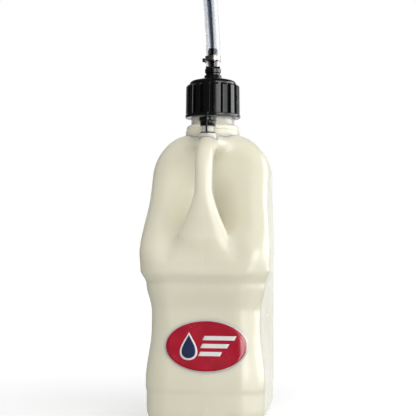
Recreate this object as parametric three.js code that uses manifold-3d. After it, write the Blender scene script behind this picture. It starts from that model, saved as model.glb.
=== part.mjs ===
// Racing fuel jug: a blow-moulded square jug with a hollow loop handle, a tall ribbed screw cap
// that carries a clear filler hose, and a small tethered vent cap. Millimetres, +Z up. The origin is
// the centre of the base, the handle is at -Y, and the jug is symmetric about the YZ plane.

import * as THREE from 'three';
import { mergeVertices } from 'three/addons/utils/BufferGeometryUtils.js';
import Module from 'manifold-3d';

// Jug body
const BODY_WIDTH = 192; // along X
const BODY_DEPTH = 238; // along Y
const CORNER_RADIUS = 45; // upright corners
const FRONT_CORNER = 28; // upright corners in front, above the waist
const BACK_CORNER = 60; // upright corners at the back, under the shoulder
const BASE_RADIUS = 32; // rounding between the walls and the base
const WALL = 2.8;
const FRONT_TOP = 278; // where the front starts to lean back on both sides of the handle
const FRONT_LEAN_END = 415; // where it has reached the wall under the neck
const LEAN_ROUNDING = 12; // how softly the front turns into the lean
const RECESS_FRONT = 40; // distance from the axis to the wall behind the handle
const RECESS_ROUNDING = 5;
const VALLEY_START = 280; // the hand's hollow behind the handle
const VALLEY_END = 340;
const VALLEY_HALF_WIDTH = 74;
const VALLEY_FLAT = 8; // half width of its deepest part
const BACK_LEAN = 26; // how far the back leans in under the shoulder
const SHOULDER_START = 405; // where the walls start to round in towards the collar
const SHOULDER_TOP = 467;
const SHOULDER_POWER = 1.7; // 2 is an ellipse, 1 a straight slope
const GRIP_DEPTH = 10.2; // how far the waist of the front lies inside the base's outline
const BULGE_DEPTH = 10; // how far the front stands out above the waist
const BULGE_START = 246;
const WAIST_TOP = 226; // the crease over the waist
const BULGE_FADE = 90; // how far above the lean's start the bulge dies out
const WAIST_HEIGHT = 169; // middle of the waist
const WAIST_FLAT = 14; // half height of its deepest part
const SWELL_FRONT = 71; // the bulge and waist are full this far in front of the axis
const SWELL_BACK = 48; // and gone this far behind it
const BAND_HEIGHT = 61; // top of the foot band
const BAND_STEP = 1.5;

// Collar and neck
const COLLAR_RADIUS = 43.3;
const COLLAR_HEIGHT = 18;
const COLLAR_TIER = 1.2;
const NECK_RADIUS = 36;
const NECK_WALL = 3;
const NECK_HEIGHT = 67; // from the collar to the rim

// Handle: centre line and section, from the collar to the foot
const GRIP_FRONT = 124; // distance from the axis to the front of the grip
const GRIP_HALF_WIDTH = 13.8;
const GRIP_HALF_THICKNESS = 15;
const FOOT_HALF_WIDTH = 50;
const FOOT_BOTTOM = 282; // where the foot is widest
const FOOT_FLARE = 92; // height over which the grip widens into the foot
const FOOT_POWER = 1.4; // how hollow the flare's sides are
const FOOT_THICKENING = 6; // how much thicker than the grip the foot is, on each side
const BRIDGE_HALF_WIDTH = 34;
const BRIDGE_TOP = 464;

// Clearances
const FIT = 0.3; // between a piece and the piece it seats on or fits in
const TURN_FIT = 0.5; // between a screw cap and its neck

// Main cap
const CAP_BASE_GAP = 10; // between the collar and the cap's flange
const CAP_SKIRT_WALL = 2.3;
const CAP_RIB_HEIGHT = 4.8;
const CAP_RIB_COUNT = 18;
const CAP_FLANGE_RADIUS = 45;
const CAP_FLANGE_HEIGHT = 4.5;
const CAP_TOP = 5.4; // thickness of the cap's top
const CAP_EDGE = 8; // height of the rounded edge
const CAP_SEAL = 3;
const BOSS_RADIUS = 14.5;
const BOSS_HEIGHT = 7.5;

// Hose, barb and clamp
const HOSE_RADIUS = 12;
const HOSE_WALL = 2.7;
const BARB_BORE = 6;
const BARB_FLANGE_RADIUS = 13.3;
const BARB_FLANGE_HEIGHT = 8.5;
const BARB_GROOVE = 2.8;
const BARB_LENGTH = 33; // from the flange to the barb's tip
const BARB_FOOT_RADIUS = 10;
const BARB_NUT_RADIUS = 17;
const BARB_NUT_HEIGHT = 7;
const CLAMP_HEIGHT = 12; // from the barb's flange to the lower edge of the band
const CLAMP_WIDTH = 8;
const CLAMP_BAND = 0.8;
const CLAMP_ANGLE = 120; // where the screw housing sits, in degrees from +X
const CLAMP_SCREW_RADIUS = 2.6;
const CLAMP_SCREW_HEAD = 3.4;

// Vent spout and cap
const VENT_OFFSET = 60.5; // distance in front of the neck's axis
const VENT_RADIUS = 9.5;
const VENT_BORE = 6.5;
const VENT_HEIGHT = 20; // of the spout above its pad
const VENT_PAD_RADIUS = 13.8;
const VENT_SEAL = 2;
const VENT_CAP_RADIUS = 12.4;
const VENT_FLANGE_RADIUS = 14.2;
const VENT_FLANGE_HEIGHT = 6.3;
const VENT_CAP_TOP = 4;
const VENT_CAP_SKIRT = 8; // how far the skirt reaches below the spout's rim
const VENT_LOBES = 12;
const TETHER_WIDTH = 3;
const TETHER_THICKNESS = 1.6;
const TETHER_LOOP = 8; // height of the loop over the vent cap

// Label
const LABEL_WIDTH = 130;
const LABEL_HEIGHT = 81;
const LABEL_CENTRE = 131; // height of its centre
const LABEL_SHIFT = 5; // along X
const LABEL_THICKNESS = 0.4;
const LABEL_GAP = 0.7;

// Places that follow from the sizes
const collarTop = SHOULDER_TOP + COLLAR_HEIGHT;
const rimHeight = collarTop + NECK_HEIGHT;
const capInside = rimHeight + FIT + CAP_SEAL + FIT;
const capTop = capInside + CAP_TOP;
const capBase = collarTop + CAP_BASE_GAP;
const capBore = NECK_RADIUS + TURN_FIT;
const skirtRadius = capBore + CAP_SKIRT_WALL;
const bossTop = capTop + BOSS_HEIGHT;
const barbSeat = bossTop + FIT;
const hoseStart = barbSeat + BARB_GROOVE + BARB_FLANGE_HEIGHT + FIT;
const hoseBore = HOSE_RADIUS - HOSE_WALL;
const ventPad = BRIDGE_TOP + 1.2;
const ventRim = ventPad + VENT_HEIGHT;
const ventInside = ventRim + FIT + VENT_SEAL + FIT;
const ventTop = ventInside + VENT_CAP_TOP;

const wasm = await Module();
wasm.setup();

// Solids

function toManifold(geometry) {
  const bare = geometry.clone();
  for (const name of Object.keys(bare.attributes)) {
    if (name !== 'position') bare.deleteAttribute(name);
  }
  const merged = mergeVertices(bare, 1e-4);
  return new wasm.Manifold(new wasm.Mesh({
    numProp: 3,
    vertProperties: new Float32Array(merged.attributes.position.array),
    triVerts: new Uint32Array(merged.index.array),
  }));
}

// Vertices closer than the weld distance become one, and the triangles that this closes up go.
function toGeometry(manifold, weld = 0.004) {
  const mesh = manifold.getMesh();
  const cut = new THREE.BufferGeometry();
  cut.setAttribute('position', new THREE.BufferAttribute(mesh.vertProperties, 3));
  cut.setIndex(new THREE.BufferAttribute(mesh.triVerts, 1));
  const geometry = mergeVertices(cut, weld);
  const corners = geometry.index.array;
  const kept = [];
  for (let i = 0; i < corners.length; i += 3) {
    const [a, b, c] = corners.slice(i, i + 3);
    if (a !== b && b !== c && c !== a) kept.push(a, b, c);
  }
  geometry.setIndex(kept);
  geometry.computeVertexNormals();
  return geometry;
}

// Closed skin over a stack of rings with equal numbers of points, each end closed by a fan.
function loft(rings) {
  const count = rings[0].length;
  const points = rings.flat();
  const centre = (ring) => ring.reduce((sum, p) => sum.add(p), new THREE.Vector3()).divideScalar(count);
  points.push(centre(rings[0]), centre(rings.at(-1)));
  const index = [];
  for (let level = 0; level + 1 < rings.length; level += 1) {
    for (let side = 0; side < count; side += 1) {
      const a = level * count + side;
      const b = level * count + (side + 1) % count;
      index.push(a, b, b + count, a, b + count, a + count);
    }
  }
  const last = (rings.length - 1) * count;
  for (let side = 0; side < count; side += 1) {
    const next = (side + 1) % count;
    index.push(points.length - 2, next, side);
    index.push(points.length - 1, last + side, last + next);
  }
  const geometry = new THREE.BufferGeometry().setFromPoints(points);
  geometry.setIndex(index);
  return geometry;
}

// Solid of revolution from [radius, height] pairs.
function turned(profile, segments) {
  const points = profile.map(([radius, height]) => new THREE.Vector2(radius, height));
  return new THREE.LatheGeometry(points, segments).rotateX(Math.PI / 2);
}

// Ring of rectangular section between two radii and two heights.
function ring(inner, outer, bottom, top, segments) {
  const profile = [[inner, bottom], [outer, bottom], [outer, top], [inner, top], [inner, bottom]];
  return turned(profile, segments);
}

function smoothstep(low, high, value) {
  return THREE.MathUtils.smoothstep(value, low, high);
}

// Smooth curve through [position, value] pairs.
function curveThrough(pairs) {
  return (position) => {
    if (position <= pairs[0][0]) return pairs[0][1];
    for (let i = 1; i < pairs.length; i += 1) {
      const [right, end] = pairs[i];
      if (position <= right) {
        const [left, start] = pairs[i - 1];
        return start + (end - start) * smoothstep(left, right, position);
      }
    }
    return pairs.at(-1)[1];
  };
}

// Jug body

// How far the front stands out of the plain box at each height: the bulge above, the waist that
// the fingers reach into when the jug is tipped, and nothing at the foot.
const frontSwell = curveThrough([
  [BAND_HEIGHT + WAIST_FLAT, 0],
  [WAIST_HEIGHT - WAIST_FLAT, -GRIP_DEPTH],
  [WAIST_HEIGHT + WAIST_FLAT, -GRIP_DEPTH],
  [WAIST_TOP, 0],
  [BULGE_START, BULGE_DEPTH],
]);

// Distance from the axis to a box with rounded corners, along a direction in plan.
function roundedBox(angle, halfWidth, front, back, radius) {
  const middle = (back - front) / 2;
  const halfDepth = (back + front) / 2;
  const dx = Math.cos(angle);
  const dy = Math.sin(angle);
  const outside = (distance) => {
    const qx = Math.abs(dx * distance) - halfWidth + radius;
    const qy = Math.abs(dy * distance - middle) - halfDepth + radius;
    return Math.hypot(Math.max(qx, 0), Math.max(qy, 0)) + Math.min(Math.max(qx, qy), 0) - radius;
  };
  let near = 0;
  let far = halfWidth + front + back;
  for (let step = 0; step < 40; step += 1) {
    const half = (near + far) / 2;
    if (outside(half) > 0) far = half;
    else near = half;
  }
  return near;
}

// Distance from the axis to the front's corners: full depth up to the bulge, then leaning back.
function frontDepth(height) {
  const full = BODY_DEPTH / 2;
  const slope = (full - RECESS_FRONT) / (FRONT_LEAN_END - FRONT_TOP);
  const above = height - FRONT_TOP;
  const lean = slope * (Math.hypot(above, LEAN_ROUNDING) + above) / 2;
  const left = full - RECESS_FRONT - lean;
  return RECESS_FRONT + (Math.hypot(left, RECESS_ROUNDING) + left) / 2;
}

// Distance from the axis to the outer surface, by direction and height.
function bodyRadius(angle, height) {
  const low = Math.min(height, BASE_RADIUS);
  const inset = BASE_RADIUS - Math.sqrt(BASE_RADIUS ** 2 - (BASE_RADIUS - low) ** 2);
  const band = BAND_STEP * (1 - smoothstep(BAND_HEIGHT - 3, BAND_HEIGHT + 3, height));
  const shrink = inset + band;
  const front = frontDepth(height);
  const upper = smoothstep(FRONT_TOP, SHOULDER_START, height);
  const back = BODY_DEPTH / 2 - BACK_LEAN * upper;
  const corner = Math.sin(angle) < 0
    ? THREE.MathUtils.lerp(CORNER_RADIUS, FRONT_CORNER, smoothstep(WAIST_TOP, FRONT_TOP, height))
    : THREE.MathUtils.lerp(CORNER_RADIUS, BACK_CORNER, upper);
  let radius = roundedBox(
    angle,
    BODY_WIDTH / 2 - shrink,
    front - shrink,
    back - shrink,
    corner - Math.min(shrink, 20),
  );
  // The hollow behind the handle, deepest in the middle and open upwards
  const x = radius * Math.cos(angle);
  const y = radius * Math.sin(angle);
  const valley = smoothstep(VALLEY_START, VALLEY_END, height)
    * (1 - smoothstep(VALLEY_FLAT, VALLEY_HALF_WIDTH, Math.abs(x)))
    * (1 - smoothstep(-RECESS_FRONT, 0, y));
  radius *= 1 - (1 - RECESS_FRONT / front) * valley;
  const forward = 1 - smoothstep(-SWELL_FRONT, SWELL_BACK, y);
  const fade = 1 - smoothstep(FRONT_TOP, FRONT_TOP + BULGE_FADE, height);
  radius += frontSwell(height) * forward * fade;
  const t = THREE.MathUtils.clamp((height - SHOULDER_START) / (SHOULDER_TOP - SHOULDER_START), 0, 1);
  const inward = 1 - (1 - t ** SHOULDER_POWER) ** (1 / SHOULDER_POWER);
  return THREE.MathUtils.lerp(radius, COLLAR_RADIUS - 1, inward);
}

// The inner surface keeps the wall's thickness from the outer one, sideways and up and down.
function innerRadius(angle, height) {
  const nearest = [-WALL, -WALL / 2, 0, WALL / 2, WALL].map((step) => {
    const level = THREE.MathUtils.clamp(height + step, 0, SHOULDER_TOP);
    return bodyRadius(angle, level);
  });
  return Math.min(...nearest) - WALL;
}

function bodyRings(radiusAt, heights, sides) {
  return heights.map((height) => {
    const points = [];
    for (let side = 0; side < sides; side += 1) {
      const angle = (2 * Math.PI * (side + 0.5)) / sides;
      const radius = radiusAt(angle, height);
      points.push(new THREE.Vector3(radius * Math.cos(angle), radius * Math.sin(angle), height));
    }
    return points;
  });
}

// Heights of the rings: close together where the wall turns, wide apart where it is straight.
function ringHeights(bottom, top, spacing) {
  const base = [0, 1.5, 5, 11, 20, BASE_RADIUS].map((z) => z + bottom);
  const waist = [BAND_HEIGHT - 3, BAND_HEIGHT + 3];
  for (let z = BAND_HEIGHT + 22; z < WAIST_TOP - 8; z += spacing) waist.push(z);
  const crease = [WAIST_TOP - 3, WAIST_TOP + 3, (WAIST_TOP + BULGE_START) / 2 + 3, BULGE_START, BULGE_START + 14];
  const lean = [];
  for (let z = FRONT_TOP - 6; z < SHOULDER_START - 6; z += 11) lean.push(z);
  const shares = [0, 0.2, 0.38, 0.55, 0.7, 0.82, 0.91, 0.97, 1];
  const shoulder = shares.map((share) => SHOULDER_START + share * (top - SHOULDER_START));
  return [...base, ...waist, ...crease, ...lean, ...shoulder];
}

// Handle

// Stations down the handle: where its centre is, which way it runs, and its half width and thickness.
function handleStations() {
  const gripCentre = GRIP_FRONT - GRIP_HALF_THICKNESS;
  const bridge = BRIDGE_TOP - GRIP_HALF_THICKNESS;
  const path = new THREE.CatmullRomCurve3([
    new THREE.Vector3(0, -18, bridge - 2),
    new THREE.Vector3(0, -40, bridge),
    new THREE.Vector3(0, -66, bridge - 2),
    new THREE.Vector3(0, -gripCentre + 12, bridge - 24),
    new THREE.Vector3(0, -gripCentre + 1, bridge - 62),
    new THREE.Vector3(0, -gripCentre, FRONT_TOP + 70),
    new THREE.Vector3(0, -gripCentre, FRONT_TOP + 40),
    new THREE.Vector3(0, -gripCentre + 1, FRONT_TOP + 10),
    new THREE.Vector3(0, -gripCentre + 8, FRONT_TOP - 16),
  ], false, 'centripetal');
  const bridgeWidth = curveThrough([
    [34, BRIDGE_HALF_WIDTH],
    [VENT_OFFSET + 4, GRIP_HALF_WIDTH + 1.5],
    [gripCentre - 6, GRIP_HALF_WIDTH],
  ]);
  const footWidth = (height) => {
    const rise = THREE.MathUtils.clamp((height - FOOT_BOTTOM) / FOOT_FLARE, 0, 1);
    return GRIP_HALF_WIDTH + (FOOT_HALF_WIDTH - GRIP_HALF_WIDTH) * (1 - rise) ** FOOT_POWER;
  };
  const stations = [];
  const count = 18;
  for (let i = 0; i <= count; i += 1) {
    const centre = path.getPointAt(i / count);
    const along = path.getTangentAt(i / count);
    const across = new THREE.Vector3(0, along.z, -along.y);
    const onBridge = centre.z > bridge - 40;
    const foot = 1 - smoothstep(FRONT_TOP, FRONT_TOP + FOOT_FLARE / 2, centre.z);
    stations.push({
      centre,
      across,
      halfWidth: onBridge ? bridgeWidth(-centre.y) : footWidth(centre.z),
      halfThickness: GRIP_HALF_THICKNESS + FOOT_THICKENING * foot,
    });
  }
  return stations;
}

// The handle's section is a full oval, a little squarer than an ellipse.
function handleRings(stations, wall, sides) {
  return stations.map(({ centre, across, halfWidth, halfThickness }) => {
    const points = [];
    for (let side = 0; side < sides; side += 1) {
      const angle = (2 * Math.PI * side) / sides;
      const squarer = (value) => Math.sign(value) * Math.abs(value) ** 0.86;
      const x = squarer(Math.cos(angle)) * (halfWidth - wall);
      const out = squarer(Math.sin(angle)) * (halfThickness - wall);
      points.push(new THREE.Vector3(x, 0, 0).addScaledVector(across, out).add(centre));
    }
    return points;
  });
}

// The moulded jug with its neck and vent spout

function neckProfile() {
  const tier = SHOULDER_TOP + COLLAR_HEIGHT * 0.48;
  return [
    [0, SHOULDER_TOP - 20],
    [COLLAR_RADIUS - 3, SHOULDER_TOP - 20],
    [COLLAR_RADIUS - 1, SHOULDER_TOP - 1],
    [COLLAR_RADIUS, SHOULDER_TOP + 1],
    [COLLAR_RADIUS, tier - 1],
    [COLLAR_RADIUS - COLLAR_TIER, tier],
    [COLLAR_RADIUS - COLLAR_TIER, collarTop - 4],
    [COLLAR_RADIUS - COLLAR_TIER - 3, collarTop - 0.8],
    [NECK_RADIUS + 1, collarTop],
    [NECK_RADIUS, collarTop + 1],
    [NECK_RADIUS, rimHeight],
    [0, rimHeight],
  ];
}

function ventSpout() {
  const profile = [
    [0, ventPad - 12],
    [VENT_PAD_RADIUS, ventPad - 12],
    [VENT_PAD_RADIUS, ventPad],
    [VENT_RADIUS, ventPad],
    [VENT_RADIUS, ventRim],
    [0, ventRim],
  ];
  return turned(profile, 28).translate(0, -VENT_OFFSET, 0);
}

function jugBody() {
  const outerRings = bodyRings(bodyRadius, ringHeights(0, SHOULDER_TOP, 13), 44);
  const innerRings = bodyRings(innerRadius, ringHeights(WALL, SHOULDER_TOP - WALL, 34), 28);
  const stations = handleStations();
  const neckBore = turned([
    [0, SHOULDER_TOP - 30],
    [NECK_RADIUS - NECK_WALL, SHOULDER_TOP - 30],
    [NECK_RADIUS - NECK_WALL, rimHeight + 1],
    [0, rimHeight + 1],
  ], 40);
  const ventBore = turned([
    [0, ventPad - 14],
    [VENT_BORE, ventPad - 14],
    [VENT_BORE, ventRim + 1],
    [0, ventRim + 1],
  ], 18).translate(0, -VENT_OFFSET, 0);
  const outside = toManifold(loft(outerRings))
    .add(toManifold(loft(handleRings(stations, 0, 20))))
    .add(toManifold(turned(neckProfile(), 44)))
    .add(toManifold(ventSpout()));
  const inside = toManifold(loft(innerRings))
    .add(toManifold(loft(handleRings(stations, WALL, 12))))
    .add(toManifold(neckBore))
    .add(toManifold(ventBore));
  return toGeometry(outside.subtract(inside));
}

// Main cap

// Skirt, rounded edge, domed top and boss in one profile, open underneath and bored for the barb.
function capShell() {
  const edge = capTop - CAP_EDGE;
  const hole = BARB_FOOT_RADIUS + FIT;
  const profile = [
    [capBore, capBase],
    [CAP_FLANGE_RADIUS - 1, capBase],
    [CAP_FLANGE_RADIUS, capBase + 1],
    [CAP_FLANGE_RADIUS, capBase + CAP_FLANGE_HEIGHT - 1],
    [CAP_FLANGE_RADIUS - 1.2, capBase + CAP_FLANGE_HEIGHT],
    [skirtRadius, capBase + CAP_FLANGE_HEIGHT],
    [skirtRadius, edge],
    [skirtRadius - 1, edge + 3.5],
    [skirtRadius - 4, edge + 6.4],
    [skirtRadius - 9, edge + 7.6],
    [BOSS_RADIUS + 1.5, capTop],
    [BOSS_RADIUS, capTop + 1.2],
    [BOSS_RADIUS, bossTop - 1],
    [BOSS_RADIUS - 1, bossTop],
    [hole, bossTop],
    [hole, capInside],
    [capBore, capInside],
    [capBore, capBase],
  ];
  return turned(profile, 54);
}

// One grip rib: a rounded upright bar on the skirt, flaring a little towards the flange.
function capRib(angle) {
  const halfWidth = (Math.PI * skirtRadius) / CAP_RIB_COUNT / 2;
  const top = capTop - CAP_EDGE - 4;
  const bottom = capBase + CAP_FLANGE_HEIGHT - 1;
  const section = (height, reach, half) => [
    [skirtRadius - 1, -half],
    [skirtRadius + reach * 0.72, -half * 0.92],
    [skirtRadius + reach, -half * 0.55],
    [skirtRadius + reach, half * 0.55],
    [skirtRadius + reach * 0.72, half * 0.92],
    [skirtRadius - 1, half],
  ].map(([x, y]) => new THREE.Vector3(x, y, height));
  const rings = [
    section(bottom, CAP_RIB_HEIGHT + 0.6, halfWidth),
    section(top - 2, CAP_RIB_HEIGHT - 0.2, halfWidth),
    section(top + 2, CAP_RIB_HEIGHT * 0.55, halfWidth * 0.9),
  ];
  return loft(rings).rotateZ(angle);
}

function mainCap() {
  let cap = toManifold(capShell());
  for (let i = 0; i < CAP_RIB_COUNT; i += 1) {
    cap = cap.add(toManifold(capRib(((i + 0.2) * 2 * Math.PI) / CAP_RIB_COUNT)));
  }
  return toGeometry(cap);
}

// Barb, nut, hose and clamp

function hoseBarb() {
  const foot = capInside - BARB_NUT_HEIGHT - 4;
  const flange = barbSeat + BARB_GROOVE;
  const flangeTop = flange + BARB_FLANGE_HEIGHT;
  const tip = flangeTop + BARB_LENGTH;
  const ridge = hoseBore - FIT;
  const stem = ridge - 1.2;
  const profile = [
    [BARB_BORE, foot],
    [BARB_FOOT_RADIUS, foot],
    [BARB_FOOT_RADIUS, bossTop + FIT],
    [BARB_FLANGE_RADIUS - 1.6, barbSeat],
    [BARB_FLANGE_RADIUS - 1.6, flange],
    [BARB_FLANGE_RADIUS, flange + 1],
    [BARB_FLANGE_RADIUS, flangeTop - 1.2],
    [BARB_FLANGE_RADIUS - 1.2, flangeTop],
    [stem, flangeTop],
    [stem, flangeTop + 8],
    [ridge, flangeTop + 8],
    [stem, flangeTop + 15],
    [stem, flangeTop + 17],
    [ridge, flangeTop + 17],
    [stem, flangeTop + 24],
    [stem, flangeTop + 26],
    [ridge, flangeTop + 26],
    [stem - 0.6, tip],
    [BARB_BORE, tip],
    [BARB_BORE, foot],
  ];
  return turned(profile, 24);
}

// Ring nut with six wrench slots on its rim, under the cap's top.
function barbNut() {
  const bottom = capInside - FIT - BARB_NUT_HEIGHT;
  const outline = new THREE.Shape();
  outline.absarc(0, 0, BARB_NUT_RADIUS, 0, 2 * Math.PI, false);
  const hole = new THREE.Path();
  hole.absarc(0, 0, BARB_FOOT_RADIUS + FIT, 0, 2 * Math.PI, true);
  outline.holes.push(hole);
  const blank = new THREE.ExtrudeGeometry(outline, {
    depth: BARB_NUT_HEIGHT,
    bevelEnabled: false,
    curveSegments: 18,
  }).translate(0, 0, bottom);
  let nut = toManifold(blank);
  for (let i = 0; i < 6; i += 1) {
    const slot = new THREE.BoxGeometry(5, 4, BARB_NUT_HEIGHT + 2)
      .translate(BARB_NUT_RADIUS, 0, bottom + BARB_NUT_HEIGHT / 2)
      .rotateZ((i * Math.PI) / 3);
    nut = nut.subtract(toManifold(slot));
  }
  return toGeometry(nut);
}

// Route of the hose: straight up off the barb, then leaning slowly to the left.
function hoseRoute() {
  return new THREE.CatmullRomCurve3([
    new THREE.Vector3(0, 0, hoseStart),
    new THREE.Vector3(0, 0, hoseStart + 18),
    new THREE.Vector3(0, 0, hoseStart + 36),
    new THREE.Vector3(-1.6, 0, hoseStart + 66),
    new THREE.Vector3(-5, 1, hoseStart + 112),
    new THREE.Vector3(-11, 3, hoseStart + 166),
    new THREE.Vector3(-20, 6, hoseStart + 226),
    new THREE.Vector3(-33, 10, hoseStart + 290),
    new THREE.Vector3(-49, 15, hoseStart + 350),
  ], false, 'centripetal');
}

function fillerHose() {
  const wall = new THREE.Shape();
  wall.absarc(0, 0, HOSE_RADIUS, 0, 2 * Math.PI, false);
  const bore = new THREE.Path();
  bore.absarc(0, 0, hoseBore + FIT, 0, 2 * Math.PI, true);
  wall.holes.push(bore);
  return new THREE.ExtrudeGeometry(wall, {
    steps: 14,
    curveSegments: 6,
    extrudePath: hoseRoute(),
  });
}

// The pieces of the clamp are made round the axis and turned to the housing's place afterwards.
function clampBand() {
  const bottom = hoseStart + CLAMP_HEIGHT;
  const inner = HOSE_RADIUS + FIT;
  return ring(inner, inner + CLAMP_BAND, bottom, bottom + CLAMP_WIDTH, 36);
}

// Folded housing: a bridge over the screw, open at both ends.
function clampHousing() {
  const seat = HOSE_RADIUS + FIT + CLAMP_BAND + FIT;
  const middle = hoseStart + CLAMP_HEIGHT + CLAMP_WIDTH / 2;
  const outline = new THREE.Shape();
  const half = CLAMP_WIDTH / 2 + 0.9;
  const height = 2 * CLAMP_SCREW_RADIUS + 2.2;
  outline.moveTo(0, -half);
  outline.lineTo(height - 2, -half);
  outline.quadraticCurveTo(height, -half, height, -half + 2);
  outline.lineTo(height, half - 2);
  outline.quadraticCurveTo(height, half, height - 2, half);
  outline.lineTo(0, half);
  const hole = new THREE.Path();
  hole.absarc(height / 2 + 0.2, 0, CLAMP_SCREW_RADIUS + FIT, 0, 2 * Math.PI, true);
  outline.holes.push(hole);
  return new THREE.ExtrudeGeometry(outline, { depth: 11, bevelEnabled: false, curveSegments: 6 })
    .translate(0, 0, -5.5)
    .rotateX(Math.PI / 2)
    .translate(seat, 0, middle)
    .rotateZ(THREE.MathUtils.degToRad(CLAMP_ANGLE));
}

// Screw of the clamp: worm, collar and slotted hexagon head.
function clampScrew() {
  const seat = HOSE_RADIUS + FIT + CLAMP_BAND + FIT;
  const centre = seat + (2 * CLAMP_SCREW_RADIUS + 2.2) / 2 + 0.2;
  const middle = hoseStart + CLAMP_HEIGHT + CLAMP_WIDTH / 2;
  const worm = new THREE.CylinderGeometry(CLAMP_SCREW_RADIUS, CLAMP_SCREW_RADIUS, 13, 20);
  const collar = new THREE.CylinderGeometry(4, 4, 1, 20).translate(0, 6.4, 0);
  const head = new THREE.CylinderGeometry(CLAMP_SCREW_HEAD, CLAMP_SCREW_HEAD, 4.4, 6).translate(0, 9, 0);
  const slot = new THREE.BoxGeometry(10, 2, 1).translate(0, 11.2, 0);
  const screw = toManifold(worm).add(toManifold(collar)).add(toManifold(head)).subtract(toManifold(slot));
  return toGeometry(screw)
    .translate(centre, 0, middle)
    .rotateZ(THREE.MathUtils.degToRad(CLAMP_ANGLE));
}

// Vent cap, seal and tether

function ventCap() {
  const bore = VENT_RADIUS + TURN_FIT;
  const base = ventRim - VENT_CAP_SKIRT;
  const shell = turned([
    [bore, base],
    [VENT_CAP_RADIUS - 0.6, base],
    [VENT_CAP_RADIUS, base + 0.6],
    [VENT_CAP_RADIUS, ventTop - VENT_FLANGE_HEIGHT - 0.4],
    [VENT_FLANGE_RADIUS - 0.8, ventTop - VENT_FLANGE_HEIGHT + 0.4],
    [VENT_FLANGE_RADIUS - 0.8, ventTop - 1],
    [VENT_FLANGE_RADIUS - 1.8, ventTop],
    [0, ventTop],
    [0, ventInside],
    [bore, ventInside],
    [bore, base],
  ], 36);
  let cap = toManifold(shell);
  for (let i = 0; i < VENT_LOBES; i += 1) {
    const lobe = new THREE.CylinderGeometry(1.6, 1.6, VENT_FLANGE_HEIGHT - 1.6, 8)
      .rotateX(Math.PI / 2)
      .translate(VENT_FLANGE_RADIUS - 1.6, 0, ventTop - VENT_FLANGE_HEIGHT / 2 - 0.2)
      .rotateZ((i * 2 * Math.PI) / VENT_LOBES);
    cap = cap.add(toManifold(lobe));
  }
  return toGeometry(cap).translate(0, -VENT_OFFSET, 0);
}

// Soft strap: a ring round the spout's foot, a band in front of the cap and a loop down to a disc
// on the cap's top.
function ventTether() {
  const ringTop = ventPad + FIT + 2;
  const discBottom = ventTop + FIT;
  const crest = ventTop + TETHER_LOOP;
  const foot = ring(VENT_RADIUS + FIT, VENT_PAD_RADIUS - 1.6, ventPad + FIT, ringTop, 36);
  const disc = turned([[0, discBottom], [6, discBottom], [6, discBottom + 1.4], [0, discBottom + 1.4]], 28);
  const route = new THREE.CatmullRomCurve3([
    new THREE.Vector3(0, -VENT_PAD_RADIUS + 3, ringTop - 1),
    new THREE.Vector3(0, -VENT_FLANGE_RADIUS - 1.4, ringTop - 0.4),
    new THREE.Vector3(0, -VENT_FLANGE_RADIUS - 3, ringTop + 5),
    new THREE.Vector3(0, -VENT_FLANGE_RADIUS - 3, ventTop - 4),
    new THREE.Vector3(0, -VENT_FLANGE_RADIUS - 0.5, crest - 3),
    new THREE.Vector3(0, -7, crest - 0.4),
    new THREE.Vector3(0, 1, crest - 1),
    new THREE.Vector3(0, 4.6, crest - 3.6),
    new THREE.Vector3(0, 4, discBottom + 1.2),
    new THREE.Vector3(0, 1.5, discBottom + 0.8),
  ], false, 'centripetal');
  const section = new THREE.Shape();
  section.moveTo(-TETHER_WIDTH / 2, -TETHER_THICKNESS / 2);
  section.lineTo(TETHER_WIDTH / 2, -TETHER_THICKNESS / 2);
  section.lineTo(TETHER_WIDTH / 2, TETHER_THICKNESS / 2);
  section.lineTo(-TETHER_WIDTH / 2, TETHER_THICKNESS / 2);
  const strap = new THREE.ExtrudeGeometry(section, { steps: 30, extrudePath: route });
  const tether = toManifold(foot).add(toManifold(strap)).add(toManifold(disc));
  return toGeometry(tether).translate(0, -VENT_OFFSET, 0);
}

// Label

// Height of the front face's surface at a place on it: the distance in front of the axis.
function frontAt(x, height) {
  let y = -BODY_DEPTH / 2;
  for (let step = 0; step < 12; step += 1) {
    const radius = bodyRadius(Math.atan2(y, x), height);
    y = -Math.sqrt(Math.max(radius * radius - x * x, 1));
  }
  return y;
}

// Thin oval sheet that follows the moulded front.
function label() {
  const around = 40;
  const bands = 6;
  const sheet = (lift) => {
    const rings = [];
    for (let band = bands; band >= 1; band -= 1) {
      const points = [];
      for (let i = 0; i < around; i += 1) {
        const angle = (2 * Math.PI * i) / around;
        const x = LABEL_SHIFT + (LABEL_WIDTH / 2) * (band / bands) * Math.cos(angle);
        const z = LABEL_CENTRE + (LABEL_HEIGHT / 2) * (band / bands) * Math.sin(angle);
        points.push(new THREE.Vector3(x, frontAt(x, z) - lift, z));
      }
      rings.push(points);
    }
    return rings;
  };
  const back = sheet(LABEL_GAP).reverse();
  const face = sheet(LABEL_GAP + LABEL_THICKNESS);
  return loft([...back, ...face]);
}

// Assembly

const plastic = (color, roughness) => new THREE.MeshStandardMaterial({ color, roughness, metalness: 0 });
const ivory = plastic(0xe6dfc9, 0.35);
const black = plastic(0x18191b, 0.4);
const seal = plastic(0x232323, 0.85);
const clear = new THREE.MeshStandardMaterial({
  color: 0xc9d6de,
  roughness: 0.08,
  metalness: 0,
  transparent: true,
  opacity: 0.45,
});
const steel = new THREE.MeshStandardMaterial({ color: 0xb9b7b0, roughness: 0.28, metalness: 1 });
const paper = plastic(0xb5142e, 0.4);

const group = new THREE.Group();

function piece(name, geometry, material) {
  const mesh = new THREE.Mesh(geometry, material);
  mesh.name = name;
  group.add(mesh);
  return mesh;
}

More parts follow.
